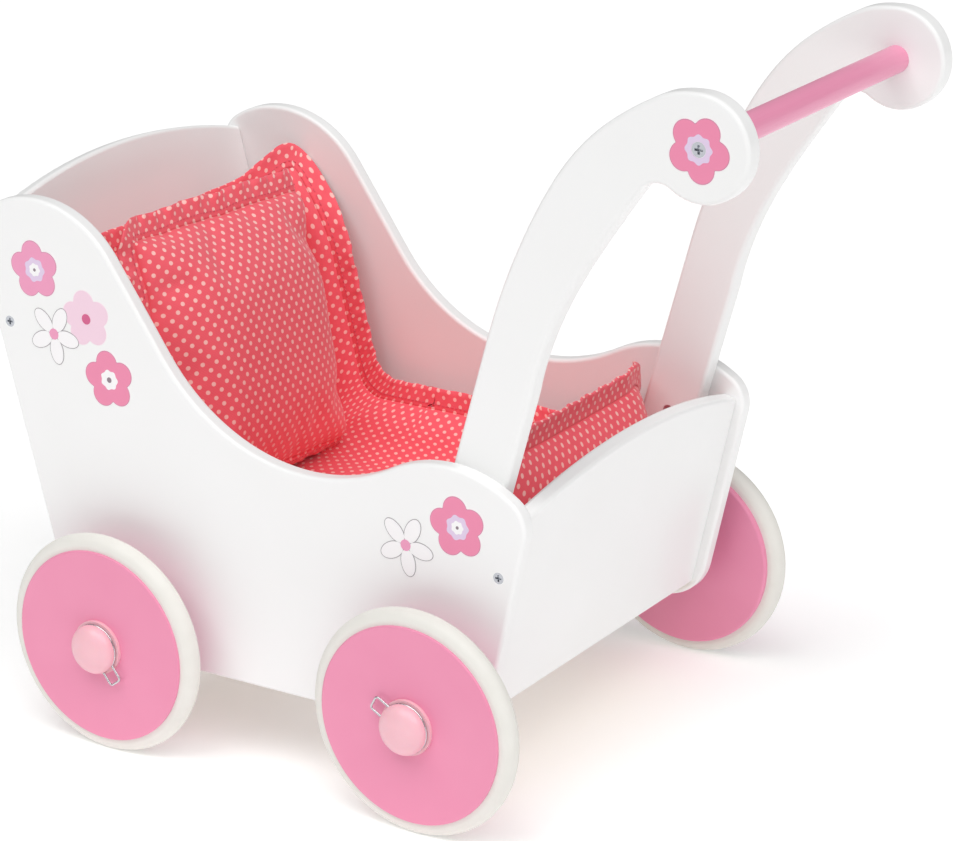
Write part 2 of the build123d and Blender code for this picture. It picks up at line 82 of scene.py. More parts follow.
lens = bpy.data.cameras.new("camera")
lens.lens = LENS_MM
lens.clip_start = 0.05
camera = bpy.data.objects.new("camera", lens)
camera.matrix_world = Matrix.Translation(EYE) @ turned.to_4x4()
bpy.context.scene.collection.objects.link(camera)
bpy.context.scene.camera = camera

# %% [markdown]
# ## Small helpers
# Colours are written as the hex codes of paint charts, and shaders need them linear. One function
# adds a node with its options and inputs. Surfaces are grids of points worked out as whole
# arrays, and one function turns such a grid into a mesh.


# %% Colours and nodes
def linear(code):
    """Linear colour of an sRGB hex code: each channel c becomes ((c + 0.055) / 1.055) ^ 2.4."""
    channels = np.array([int(code[i : i + 2], 16) for i in (1, 3, 5)]) / 255
    curved = np.where(channels <= 0.04045, channels / 12.92, ((channels + 0.055) / 1.055) ** 2.4)
    return (*curved.tolist(), 1.0)


def add(tree, kind, inputs=None, **options):
    """Adds one node to a tree. Inputs are values, or the sockets of other nodes that they read."""
    made = tree.nodes.new(kind)
    for name, value in options.items():
        setattr(made, name, value)
    for name, value in (inputs or {}).items():
        if isinstance(value, bpy.types.NodeSocket):
            tree.links.new(value, made.inputs[name])
        else:
            made.inputs[name].default_value = value
    return made


def start_material(name, **settings):
    """A new material with one Principled shader, whose sockets get the given plain values."""
    material = bpy.data.materials.new(name)
    material.use_nodes = True
    shader = material.node_tree.nodes["Principled BSDF"]
    for socket, value in settings.items():
        shader.inputs[socket.replace("_", " ")].default_value = value
    return material, material.node_tree, shader


def bump(tree, shader, height, strength, depth_mm):
    """Tilts the shading by a height pattern of 0 to 1 that stands for a depth in millimetres."""
    made = add(
        tree,
        "ShaderNodeBump",
        {"Strength": strength, "Distance": depth_mm * MM, "Height": height},
    )
    tree.links.new(made.outputs["Normal"], shader.inputs["Normal"])


def noise(tree, place, size_mm, detail=2.0):
    """Noise whose blobs are about size_mm across, read at a place in metres."""
    return add(
        tree,
        "ShaderNodeTexNoise",
        {"Vector": place, "Scale": 1 / (size_mm * MM), "Detail": detail},
    )


def between(tree, share, low, high):
    """A colour or number that runs from low to high as share runs from 0 to 1."""
    if isinstance(low, str):
        mix = add(tree, "ShaderNodeMix", {"Factor": share}, data_type="RGBA")
        mix.inputs["A"].default_value = linear(low)
        mix.inputs["B"].default_value = linear(high)
        return mix.outputs["Result"]
    spread = add(tree, "ShaderNodeMapRange", {"Value": share, "To Min": low, "To Max": high})
    return spread.outputs["Result"]


# %% Grids of points
def grid_quads(rows, columns, closed=False):
    """Faces of a grid numbered row by row. A closed grid joins its last column to its first."""
    row = np.arange(rows - 1)[:, None] * columns
    column = np.arange(columns if closed else columns - 1)[None, :]
    after = (column + 1) % columns
    corners = [row + column, row + after, row + columns + after, row + columns + column]
    return np.stack(np.broadcast_arrays(*corners), -1).reshape(-1, 4)


def new_piece(name, points, faces, body, uv=None):
    """A mesh object at the origin that moves with a body. Points are in metres, one uv for each."""
    mesh = bpy.data.meshes.new(name)
    mesh.from_pydata(np.reshape(points, (-1, 3)).tolist(), [], np.asarray(faces).tolist())
    if uv is not None:
        corner = np.empty(len(mesh.loops), int)
        mesh.loops.foreach_get("vertex_index", corner)
        layer = mesh.uv_layers.new(name="cloth")
        layer.data.foreach_set("uv", np.reshape(uv, (-1, 2))[corner].astype(np.float32).ravel())
    mesh.shade_smooth()
    piece = bpy.data.objects.new(name, mesh)
    bpy.context.scene.collection.objects.link(piece)
    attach(piece, body)
    return piece


def face_outwards(piece):
    """Merges doubled points and turns every closed shell of a piece right side out."""
    shape = bmesh.new()
    shape.from_mesh(piece.data)
    bmesh.ops.remove_doubles(shape, verts=shape.verts, dist=0.001 * MM)
    bmesh.ops.recalc_face_normals(shape, faces=shape.faces)
    shape.to_mesh(piece.data)
    shape.free()


def dress(names, material):
    """Gives parts of the frame their finish."""
    for name in names:
        nodes[name].data.materials.clear()
        nodes[name].data.materials.append(material)


# %% [markdown]
# ## White lacquer
# The boards are cut from smooth board and sprayed with white satin lacquer. Spraying leaves a
# very slight ripple, called orange peel, about 3 mm across, and the coat is a touch duller where
# it lies thin. Noise in millimetres gives both, and keeps the white from looking like an empty
# surface.

# %% White lacquer
white_lacquer, tree, shader = start_material("sprayed_white_lacquer", IOR=1.5, Coat_Weight=0.15)
place = add(tree, "ShaderNodeTexCoord").outputs["Object"]
peel = noise(tree, place, 3.0).outputs["Fac"]
cloudy = noise(tree, place, 60.0).outputs["Fac"]
tree.links.new(between(tree, cloudy, "#F6F6F5", "#F9F9F9"), shader.inputs["Base Color"])
tree.links.new(between(tree, peel, 0.34, 0.46), shader.inputs["Roughness"])
bump(tree, shader, peel, 0.25, 0.05)
boards = [name for name in nodes if name.startswith(("side_panel", "handle_arm"))]
boards += ["head_panel", "foot_panel", "floor_board"]
dress(boards, white_lacquer)
print("white boards:", len(boards))

# %% [markdown]
# ## Pink lacquer
# The wheel discs are turned on a lathe before they are painted, and the handle bar is a dowel.
# The coat hides the wood's colour but not its shape: fine rings show on the discs, and faint
# grain runs along the bar. The wheels stand in pairs, so folding X about the middle of the
# wheelbase puts all four centres at one place, and one pattern of rings serves every wheel.

# %% Pink lacquer on the wheels
front_lo, front_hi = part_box("wheel_disc_front_left")
rear_lo, rear_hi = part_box("wheel_disc_rear_left")
front_x = (front_lo.x + front_hi.x) / 2
rear_x = (rear_lo.x + rear_hi.x) / 2
axle_z = (front_lo.z + front_hi.z) / 2
PINK_LOW, PINK_HIGH = "#EC8DAF", "#F096B6"
RING_MM = 1.4  # tool marks of a lathe are finer; this is as coarse as they need to be to show

pink_turned, tree, shader = start_material("pink_lacquer_on_turned_wood", IOR=1.5, Coat_Weight=0.1)
place = add(tree, "ShaderNodeTexCoord").outputs["Object"]
axes = add(tree, "ShaderNodeSeparateXYZ", {"Vector": place})
from_middle = add(
    tree, "ShaderNodeMath", {0: axes.outputs["X"], 1: (front_x + rear_x) / 2}, operation="SUBTRACT"
)
folded = add(tree, "ShaderNodeMath", {0: from_middle.outputs[0]}, operation="ABSOLUTE")
across = add(
    tree, "ShaderNodeMath", {0: folded.outputs[0], 1: (rear_x - front_x) / 2}, operation="SUBTRACT"
)
up = add(tree, "ShaderNodeMath", {0: axes.outputs["Z"], 1: axle_z}, operation="SUBTRACT")
from_axle = add(tree, "ShaderNodeCombineXYZ", {"X": across.outputs[0], "Y": up.outputs[0]})
radius = add(tree, "ShaderNodeVectorMath", {0: from_axle.outputs[0]}, operation="LENGTH")
rings = add(
    tree,
    "ShaderNodeTexNoise",
    {"W": radius.outputs["Value"], "Scale": 1 / (RING_MM * MM), "Detail": 1.0},
    noise_dimensions="1D",
)
blotch = noise(tree, place, 35.0).outputs["Fac"]
tree.links.new(between(tree, blotch, PINK_LOW, PINK_HIGH), shader.inputs["Base Color"])
tree.links.new(between(tree, rings.outputs["Fac"], 0.36, 0.5), shader.inputs["Roughness"])
bump(tree, shader, rings.outputs["Fac"], 0.3, 0.05)
wheel_discs = [name for name in nodes if name.startswith("wheel_disc")]
dress(wheel_discs, pink_turned)
print("turned discs:", len(wheel_discs), "radius in mm:", round((front_hi.z - axle_z) / MM, 1))

# %% Pink lacquer on the bar
pink_dowel, tree, shader = start_material("pink_lacquer_on_dowel", IOR=1.5, Coat_Weight=0.15)
place = add(tree, "ShaderNodeTexCoord").outputs["Object"]
# The bar lies along Y, so squeezing Y stretches the noise into grain 1.5 mm wide and 40 mm long.
along = add(tree, "ShaderNodeMapping", {"Vector": place, "Scale": (1.0, 0.04, 1.0)})
grain = noise(tree, along.outputs["Vector"], 1.5).outputs["Fac"]
tree.links.new(between(tree, grain, "#EE92B4", "#F09CBB"), shader.inputs["Base Color"])
tree.links.new(between(tree, grain, 0.3, 0.42), shader.inputs["Roughness"])
bump(tree, shader, grain, 0.2, 0.05)
dress(["handle_bar"], pink_dowel)

# %% [markdown]
# ## Bare pine
# The axle beams and the battens under the floor are planed pine, left unpainted. Pine has wide
# pale bands of spring wood and narrow darker lines of summer wood, about 5 mm apart, that run
# along the piece. A wave pattern bent by noise draws the bands, and finer noise gives the pores.


# %% Bare pine
def planed_pine(name, stretch):
    """Pine with its grain along the axis that stretch squeezes, in the order X, Y, Z."""
    material, tree, shader = start_material(name, IOR=1.5)
    place = add(tree, "ShaderNodeTexCoord").outputs["Object"]
    along = add(tree, "ShaderNodeMapping", {"Vector": place, "Scale": stretch}).outputs["Vector"]
    bands = add(
        tree,
        "ShaderNodeTexWave",
        {"Vector": along, "Scale": 0.05 / (5 * MM), "Distortion": 6.0, "Detail": 2.0},
        bands_direction="DIAGONAL",
    ).outputs["Fac"]
    pores = noise(tree, along, 0.8).outputs["Fac"]
    tree.links.new(between(tree, bands, "#DDBB86", "#C79A5E"), shader.inputs["Base Color"])
    tree.links.new(between(tree, pores, 0.55, 0.75), shader.inputs["Roughness"])
    bump(tree, shader, pores, 0.3, 0.1)
    return material


ALONG_X, ALONG_Y = (0.06, 1.0, 1.0), (1.0, 0.06, 1.0)
dress(["axle_beam_front", "axle_beam_rear"], planed_pine("planed_pine_beam", ALONG_Y))
dress(["floor_batten_left", "floor_batten_right"], planed_pine("planed_pine_batten", ALONG_X))

# %% [markdown]
# ## Tyres, caps and bushes
# The tyres are moulded in a warm off-white rubber that takes up a little dust where it touches
# the floor. The hub caps are moulded in a smooth pale pink plastic that light enters a little, so
# it looks soft. The bushes and spacers are plain nylon.

# %% Moulded rubber and plastics
tyre_rubber, tree, shader = start_material("moulded_white_rubber", IOR=1.52)
place = add(tree, "ShaderNodeTexCoord").outputs["Object"]
dust = noise(tree, place, 12.0, 4.0).outputs["Fac"]
skin = noise(tree, place, 0.9).outputs["Fac"]
tree.links.new(between(tree, dust, "#E4E2DB", "#EDEBE5"), shader.inputs["Base Color"])
tree.links.new(between(tree, dust, 0.62, 0.5), shader.inputs["Roughness"])
bump(tree, shader, skin, 0.2, 0.05)
dress([name for name in nodes if name.startswith("tyre")], tyre_rubber)

cap_plastic, tree, shader = start_material(
    "moulded_pink_plastic",
    IOR=1.49,
    Subsurface_Weight=0.1,
    Subsurface_Scale=2 * MM,
)
place = add(tree, "ShaderNodeTexCoord").outputs["Object"]
flow = noise(tree, place, 8.0).outputs["Fac"]
tree.links.new(between(tree, flow, "#F3BBC6", "#F5C3CC"), shader.inputs["Base Color"])
tree.links.new(between(tree, flow, 0.26, 0.34), shader.inputs["Roughness"])
dress([name for name in nodes if name.startswith("hub_cap")], cap_plastic)

nylon, tree, shader = start_material("turned_natural_nylon", IOR=1.53, Subsurface_Weight=0.05)
place = add(tree, "ShaderNodeTexCoord").outputs["Object"]
milky = noise(tree, place, 6.0).outputs["Fac"]
tree.links.new(between(tree, milky, "#E6E3D8", "#EFEDE4"), shader.inputs["Base Color"])
tree.links.new(between(tree, milky, 0.4, 0.5), shader.inputs["Roughness"])
dress([n for n in nodes if n.startswith("wheel_bush")] + ["axle_spacers"], nylon)

# %% [markdown]
# ## Steel
# The axles and the wire clips are bright drawn steel, whose colour and roughness wander a little.
# Its fine scratches along the drawing are left out. The screws are pressed and zinc plated, which
# is a little bluer and cloudier.


# %% Steel
def metal(name, low, high, rough_low, rough_high, cloud_mm):
    """A metal whose colour and roughness wander a little from place to place."""
    material, tree, shader = start_material(name, Metallic=1.0)
    place = add(tree, "ShaderNodeTexCoord").outputs["Object"]
    cloud = noise(tree, place, cloud_mm, 3.0).outputs["Fac"]
    tree.links.new(between(tree, cloud, low, high), shader.inputs["Base Color"])
    tree.links.new(between(tree, cloud, rough_low, rough_high), shader.inputs["Roughness"])
    return material


bright_steel = metal("bright_drawn_steel", "#C6C6C8", "#D2D2D4", 0.2, 0.34, 2.0)
zinc_steel = metal("zinc_plated_steel", "#B9BCC2", "#CDD0D6", 0.24, 0.4, 1.0)
dress([n for n in nodes if n.startswith("hub_clip")] + ["axle_front", "axle_rear"], bright_steel)
dress([n for n in nodes if n.endswith("_screws")], zinc_steel)
print("screw groups:", sum(n.endswith("_screws") for n in nodes))

# %% [markdown]
# ## Printed flowers
# Each flower is a vinyl sticker. A print has layers, so each colour is made as its own thin
# plate, and every plate stands 0.05 mm above the one below. A plate's edge is a radius that
# depends on the angle. For a flower of five round petals, the edge is the far side of a circle
# that sits off centre. A daisy has five separate long petals, each an ellipse with a thin grey
# line round it.


# %% Inks
def ink(name, code):
    """A printed ink under a satin film, with the film's slight ripple."""
    material, tree, shader = start_material(name, IOR=1.46, Coat_Weight=0.2)
    place = add(tree, "ShaderNodeTexCoord").outputs["Object"]
    film = noise(tree, place, 2.0).outputs["Fac"]
    shader.inputs["Base Color"].default_value = linear(code)
    tree.links.new(between(tree, film, 0.3, 0.42), shader.inputs["Roughness"])
    bump(tree, shader, film, 0.1, 0.02)
    return material


INKS = {
    "cut_edge_white": "#FBEFF3",
    "mauve_line": "#C9829C",
    "rose": "#F09CC0",
    "hot_pink": "#F08BAE",
    "pale_pink": "#F6D5E5",
    "deep_rose": "#D65C8C",
    "lilac": "#E3CFEA",
    "near_white": "#FBF9FA",
    "grey_line": "#A19CA0",
    "grey_brown": "#8E7E88",
}
ink_names = list(INKS)
ink_materials = [ink(f"printed_{name}_vinyl", code) for name, code in INKS.items()]


# %% Outlines of petals
def five_petals(angle, size, first):
    """Edge of a flower: d cos(p) + sqrt(r^2 - d^2 sin(p)^2), p being the angle from a petal."""
    reach, petal = 0.28 * size, 0.22 * size
    step = 2 * math.pi / 5
    p = (angle - first + step / 2) % step - step / 2
    return reach * np.cos(p) + np.sqrt(petal**2 - (reach * np.sin(p)) ** 2)


def scallops(angle, radius, count, wave=0.07):
    """A small heart with a wavy edge: radius times 1 + wave cos(count x angle)."""
    return radius * (1 + wave * np.cos(count * angle))


def ellipse(angle, long, wide):
    """Radius of an ellipse about its own centre."""
    return long * wide / np.hypot(wide * np.cos(angle), long * np.sin(angle))


ANGLES = np.linspace(0, 2 * math.pi, 120, endpoint=False)
LAYER_MM = 0.05


def plate(edge, level, centre=(0.0, 0.0), turn=0.0, hole=0.0):
    """One thin plate in millimetres: flat top from hole to edge, down the cut, and back."""
    top = (level + 1) * LAYER_MM
    low = 0.0
    reach = np.stack([np.full_like(edge, hole), edge, edge, np.full_like(edge, hole)])
    height = np.array([top, top, low, low])[:, None] + 0 * edge
    x = centre[0] + reach * np.cos(ANGLES + turn)
    z = centre[1] + reach * np.sin(ANGLES + turn)
    return np.stack([x, height, z], -1)


def round_flower(size, first, petals, heart, eye, hole=0.0):
    """Plates of a round-petalled flower: cut edge, line, petals, then a heart and an eye."""
    shape = five_petals(ANGLES, size, first)
    made = [
        ("cut_edge_white", plate(shape, 0, hole=hole)),
        ("mauve_line" if petals != "pale_pink" else petals, plate(shape - 0.5, 1, hole=hole)),
        (petals, plate(shape - 0.85, 2, hole=hole)),
    ]
    for number, (colour, radius, count) in enumerate(heart):
        made.append((colour, plate(scallops(ANGLES, radius, count), 3 + number, hole=hole)))
    if eye:
        made.append((eye[0], plate(scallops(ANGLES, eye[1], 0, wave=0), 5)))
    return made


def daisy(size, first):
    """Plates of a daisy: five outlined white petals and a pink middle."""
    made = []
    for number in range(5):
        turn = first + number * 2 * math.pi / 5
        middle = (0.275 * size * math.cos(turn), 0.275 * size * math.sin(turn))
        long, wide = 0.225 * size, 0.135 * size
        made.append(("grey_line", plate(ellipse(ANGLES, long, wide), 3, middle, turn)))
        inner = ellipse(ANGLES, long - 0.42, wide - 0.42)
        made.append(("near_white", plate(inner, 4, middle, turn)))
    made.append(("rose", plate(scallops(ANGLES, 0.09 * size, 0, wave=0), 5)))
    return made


# %% Lay the flowers on the boards
UPRIGHT, HANGING = math.radians(98), math.radians(-82)
LILAC_HEART = [("lilac", 7.2, 7), ("near_white", 3.9, 7)]
PALE_HEART = [("near_white", 6.0, 7)]
FLOWERS = [  # x and z of the middle in millimetres, and the plates
    (-215.5, 285.0, round_flower(37, UPRIGHT, "rose", LILAC_HEART, ("grey_brown", 1.0))),
    (-178.0, 260.3, round_flower(36, UPRIGHT, "pale_pink", [], ("deep_rose", 3.2))),
    (-203.5, 247.0, daisy(38, HANGING)),
    (-163.0, 225.0, round_flower(37, UPRIGHT, "hot_pink", PALE_HEART, ("grey_brown", 1.7))),
    (47.0, 162.5, daisy(38, HANGING)),
    (82.5, 180.0, round_flower(38, UPRIGHT, "hot_pink", LILAC_HEART, ("grey_brown", 1.0))),
]
bar_lo, bar_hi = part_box("handle_bar")
BAR_X = (bar_lo.x + bar_hi.x) / 2 / MM
BAR_Z = (bar_lo.z + bar_hi.z) / 2 / MM
arm_flower = round_flower(38, HANGING, "hot_pink", [("lilac", 7.8, 8)], None, hole=4.4)
ARM_FLOWERS = [(BAR_X, BAR_Z, arm_flower)]


def lay_flowers(name, flowers, side, face_y, body="chassis"):
    """Puts plates of ink on a board's outer face, which stands at face_y on one side."""
    points, faces, inks = [], [], []
    for x, z, plates in flowers:
        for colour, shape in plates:
            ring = grid_quads(4, len(ANGLES), closed=True)
            wall = np.arange(len(ANGLES))
            after = (wall + 1) % len(ANGLES)
            final = 3 * len(ANGLES)
            if np.ptp(shape[0, :, 0]) > 1:  # a hole has an inner wall, and a full plate hasn't
                hole = np.stack([final + wall, final + after, after, wall], -1)
                ring = np.concatenate([ring, hole])
            start = sum(len(p) for p in points)
            placed = np.stack([x + shape[..., 0], shape[..., 1], z + shape[..., 2]], -1)
            points.append(placed.reshape(-1, 3))
            faces.append(ring + start)
            inks.append(np.full(len(ring), ink_names.index(colour)))
    place = np.concatenate(points)
    place[:, 1] = side * (face_y / MM + place[:, 1])
    piece = new_piece(name, place * MM, np.concatenate(faces), body)
    for material in ink_materials:
        piece.data.materials.append(material)
    piece.data.polygons.foreach_set("material_index", np.concatenate(inks))
    face_outwards(piece)
    piece.data.shade_flat()
    return piece


for side, word in ((-1, "left"), (1, "right")):
    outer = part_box(f"side_panel_{word}")
    face = max(abs(outer[0].y), abs(outer[1].y))
    prints = lay_flowers(f"printed_flowers_{word}", FLOWERS, side, face)
    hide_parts(f"flower_stickers_{word}")
    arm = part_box(f"handle_arm_{word}")
    arm_face = max(abs(arm[0].y), abs(arm[1].y))
    bloom = lay_flowers(f"printed_arm_flower_{word}", ARM_FLOWERS, side, arm_face)
    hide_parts(f"arm_sticker_{word}")
    print("flowers on the", word, "side:", len(FLOWERS) + 1)

# %% [markdown]
# ## Dotted cotton
# The bedding is sewn from plain woven cotton, printed red with pale dots in staggered rows. The
# print follows the cloth, so it reads the pieces' own UV maps, which are in metres of flat cloth.
# Two square grids of dots, one set in the middles of the other, give the staggered rows. Fine
# threads cross every 0.35 mm in real cotton. They are drawn 0.9 mm apart here, which is as coarse
# as they need to show.

# %% Dotted cotton
DOT_GRID_MM = 8.4  # so that neighbouring dots are 8.4 / sqrt(2) = 6 mm apart
DOT_RADIUS_MM = 1.3
THREAD_MM = 0.9

dotted_cotton, tree, shader = start_material(
    "printed_dotted_cotton", IOR=1.5, Sheen_Weight=0.25, Sheen_Roughness=0.5
)
cloth = add(tree, "ShaderNodeUVMap", uv_map="cloth").outputs["UV"]
cells = add(
    tree, "ShaderNodeVectorMath", {0: cloth, "Scale": 1 / (DOT_GRID_MM * MM)}, operation="SCALE"
).outputs["Vector"]
distances = []
for shift in (0.0, 0.5):
    shifted = add(tree, "ShaderNodeVectorMath", {0: cells, 1: (shift, shift, 0)}, operation="ADD")
    inside = add(
        tree, "ShaderNodeVectorMath", {0: shifted.outputs["Vector"]}, operation="FRACTION"
    )
    centred = add(
        tree,
        "ShaderNodeVectorMath",
        {0: inside.outputs["Vector"], 1: (0.5, 0.5, 0)},
        operation="SUBTRACT",
    )
    flat = add(
        tree,
        "ShaderNodeVectorMath",
        {0: centred.outputs["Vector"], 1: (1, 1, 0)},
        operation="MULTIPLY",
    )
    distances.append(
        add(tree, "ShaderNodeVectorMath", {0: flat.outputs["Vector"]}, operation="LENGTH")
    )
nearest = add(
    tree,
    "ShaderNodeMath",
    {0: distances[0].outputs["Value"], 1: distances[1].outputs["Value"]},
    operation="MINIMUM",
)
dot = add(
    tree,
    "ShaderNodeMapRange",
    {
        "Value": nearest.outputs[0],
        "From Min": (DOT_RADIUS_MM - 0.15) / DOT_GRID_MM,
        "From Max": (DOT_RADIUS_MM + 0.15) / DOT_GRID_MM,
        "To Min": 1.0,
        "To Max": 0.0,
    },
).outputs["Result"]
threads = add(
    tree, "ShaderNodeVectorMath", {0: cloth, "Scale": math.pi / (THREAD_MM * MM)}, operation="SCALE"
)
waves = add(
    tree, "ShaderNodeVectorMath", {0: threads.outputs["Vector"]}, operation="SINE"
)
warp_weft = add(tree, "ShaderNodeSeparateXYZ", {"Vector": waves.outputs["Vector"]})
weave = add(
    tree,
    "ShaderNodeMath",
    {0: warp_weft.outputs["X"], 1: warp_weft.outputs["Y"]},
    operation="MULTIPLY",
).outputs[0]
lifted = add(tree, "ShaderNodeMapRange", {"Value": weave, "From Min": -1.0, "From Max": 1.0})
faded = noise(tree, cloth, 14.0).outputs["Fac"]
ground = between(tree, faded, "#F25A69", "#F96673")
print_ends = {"Factor": dot, "A": ground, "B": linear("#FFC8C0")}
pattern = add(tree, "ShaderNodeMix", print_ends, data_type="RGBA")
tree.links.new(pattern.outputs["Result"], shader.inputs["Base Color"])
tree.links.new(between(tree, lifted.outputs["Result"], 0.8, 0.92), shader.inputs["Roughness"])
bump(tree, shader, lifted.outputs["Result"], 0.35, 0.12)

# %% [markdown]
# ## Stuffing by simulation
# A cushion is two equal sheets of cloth, sewn together round their edge and stuffed. The natural
# way to its shape is to let cloth do it: the two sheets start almost flat, air pressure blows
# them up, and the edge pulls in between the corners and gathers by itself. The result is scaled
# to the thickness that the stuffing should have. It all happens flat, where the cloth's own
# coordinates are easy to keep.


# %% A flat cushion and its stuffing
def flat_cushion(length, width, step, swell):
    """Two sheets that share their rim. Height is swell (1 - x^4)(1 - y^4), x and y from -1 to 1."""
    rows, columns = round(length / step) + 1, round(width / step) + 1
    x, y = np.meshgrid(np.linspace(-1, 1, rows), np.linspace(-1, 1, columns), indexing="ij")
    height = swell * (1 - x**4) * (1 - y**4)
    upper = np.stack([x * length / 2, y * width / 2, height], -1)
    inner = upper[1:-1, 1:-1] * np.array([1, 1, -1])
    points = np.concatenate([upper.reshape(-1, 3), inner.reshape(-1, 3)])
    top = np.arange(rows * columns).reshape(rows, columns)
    under = top.copy()
    under[1:-1, 1:-1] = rows * columns + np.arange(inner[..., 0].size).reshape(inner.shape[:2])
    quads = grid_quads(rows, columns)
    faces = np.concatenate([quads, under.reshape(-1)[quads][:, ::-1]])
    rim = np.concatenate([top[:, 0], top[-1, 1:], top[-2::-1, -1], top[0, -2:0:-1]])
    return points, faces, rim


PULL = 0.5  # share of the edge's pull inwards that is kept, because the seams are stiff


def stuff(name, points, faces, body, pressure, thickness):
    """Blows a flat cushion up with cloth simulation, then scales its height to a thickness."""
    piece = new_piece(name, points, faces, body, uv=points[:, :2])
    swollen = points.copy()
    cloth = piece.modifiers.new("Cloth", "CLOTH")
    cloth.settings.quality = 7
    cloth.settings.mass = 0.25
    cloth.settings.tension_stiffness = 18
    cloth.settings.compression_stiffness = 12
    cloth.settings.bending_stiffness = 0.25
    cloth.settings.shrink_min = -0.05
    cloth.settings.use_pressure = True
    cloth.settings.uniform_pressure_force = pressure
    cloth.settings.effector_weights.gravity = 0
    for moment in range(1, 21):
        bpy.context.scene.frame_set(moment)
    done = piece.evaluated_get(bpy.context.evaluated_depsgraph_get())
    done.data.vertices.foreach_get("co", swollen.reshape(-1))
    piece.modifiers.clear()
    bpy.context.scene.frame_set(1)
    high = np.ptp(swollen[:, 2])
    print(name, "swelled to", round(high / MM, 1), "mm, scaled to", round(thickness / MM, 1))
    flat = points[:, :2] + PULL * (swollen[:, :2] - points[:, :2])
    middle = (swollen[:, 2].max() + swollen[:, 2].min()) / 2
    height = (swollen[:, 2:] - middle) * thickness / high
    return piece, np.concatenate([flat, height], 1)


# %% [markdown]
# ## Seams, flanges and stitches
# The covers are sewn with a flange: the two cloths run on past the seam as a flat double border,
# which curls a little because it is longer than the seam. The flange is a thin profile carried
# round the rim of the cushion. Short stitches of thread lie along the seam.


# %% Flange and stitches
def smooth_loop(loop, turns):
    """Averages each point of a closed loop with its neighbours a few times."""
    for _ in range(turns):
        loop = (np.roll(loop, 1, 0) + 2 * loop + np.roll(loop, -1, 0)) / 4
    return loop


def outward_of(loop):
    """Directions in the plane that point out of a closed loop, square to it."""
    ahead = np.roll(loop, -1, 0) - np.roll(loop, 1, 0)
    out = np.stack([ahead[:, 1], -ahead[:, 0], 0 * ahead[:, 0]], -1)
    out /= np.linalg.norm(out, axis=1, keepdims=True)
    turning = np.sum(loop[:, 0] * np.roll(loop[:, 1], -1) - np.roll(loop[:, 0], -1) * loop[:, 1])
    return out * np.sign(turning)


def flange(loop, flat_loop, width, thick, ripple):
    """A double border round a rim: out by width, and back on the underside, with a rippled edge."""
    out = smooth_loop(outward_of(loop), 2)
    out /= np.linalg.norm(out, axis=1, keepdims=True)
    ahead = np.linalg.norm(np.roll(loop, -1, 0) - loop, axis=1)
    along = np.cumsum(ahead) - ahead[0]
    total = along[-1] + ahead[-1]
    wave = np.sin(2 * math.pi * along * round(total / (23 * MM)) / total)
    wave += 0.6 * np.sin(2 * math.pi * along * round(total / (9 * MM)) / total + 1.0)
    share = np.array([-0.15, 0.0, 0.25, 0.5, 0.75, 0.97, 1.0, 0.97, 0.75, 0.5, 0.25, 0.0, -0.15])
    side = np.array([1, 1, 1, 1, 1, 1, 0, -1, -1, -1, -1, -1, -1])
    lift = ripple * np.clip(share, 0, 1)[:, None] ** 1.5 * wave + side[:, None] * thick / 2
    points = loop + share[:, None, None] * width * out
    points[..., 2] += lift
    corner = smooth_loop(outward_of(flat_loop), 2)
    uv = (flat_loop + share[:, None, None] * width * corner)[..., :2]
    return np.concatenate([points, points[:1]]), np.concatenate([uv, uv[:1]])


def stitches(loop, spacing, length, radius, lift):
    """Short threads along a loop: each an eight-point spindle, swept over 6 rings."""
    ahead = np.linalg.norm(np.roll(loop, -1, 0) - loop, axis=1)
    along = np.concatenate([[0], np.cumsum(ahead)])
    closed = np.concatenate([loop, loop[:1]])
    count = round(along[-1] / spacing)
    middle = (np.arange(count) + 0.5) * along[-1] / count
    ring = np.linspace(-0.5, 0.5, 6)
    where = (middle[:, None] + ring[None, :] * length) % along[-1]
    spine = np.stack([np.interp(where, along, closed[:, k]) for k in range(3)], -1)
    heading = spine[:, -1] - spine[:, 0]
    heading /= np.linalg.norm(heading, axis=1, keepdims=True)
    sideways = np.stack([heading[:, 1], -heading[:, 0], 0 * heading[:, 0]], -1)
    thick = radius * np.sqrt(1 - (2 * ring) ** 2)
    rise = lift + radius * 0.6 * (1 - (2 * ring) ** 2)
    turn = np.linspace(0, 2 * math.pi, 8, endpoint=False)
    points = spine[:, :, None, :] + thick[None, :, None, None] * (
        np.cos(turn)[None, None, :, None] * sideways[:, None, None, :]
        + np.sin(turn)[None, None, :, None] * np.array([0, 0, 1])
    )
    points[..., 2] += rise[None, :, None]
    quads = grid_quads(6, 8, closed=True)
    faces = np.arange(count)[:, None, None] * 48 + quads[None]
    return points.reshape(-1, 3), faces.reshape(-1, 4)


# %% [markdown]
# ## Mattress
# The mattress is one long pad that lies against the head of the tub, along its floor and up its
# foot. It is wider than the tub, so both long margins curl up against the side boards. It is
# stuffed flat, and then laid in: a point's place along the pad follows a line down the head,
# round two bends and up the foot, and its place across the pad curls up near the sides.

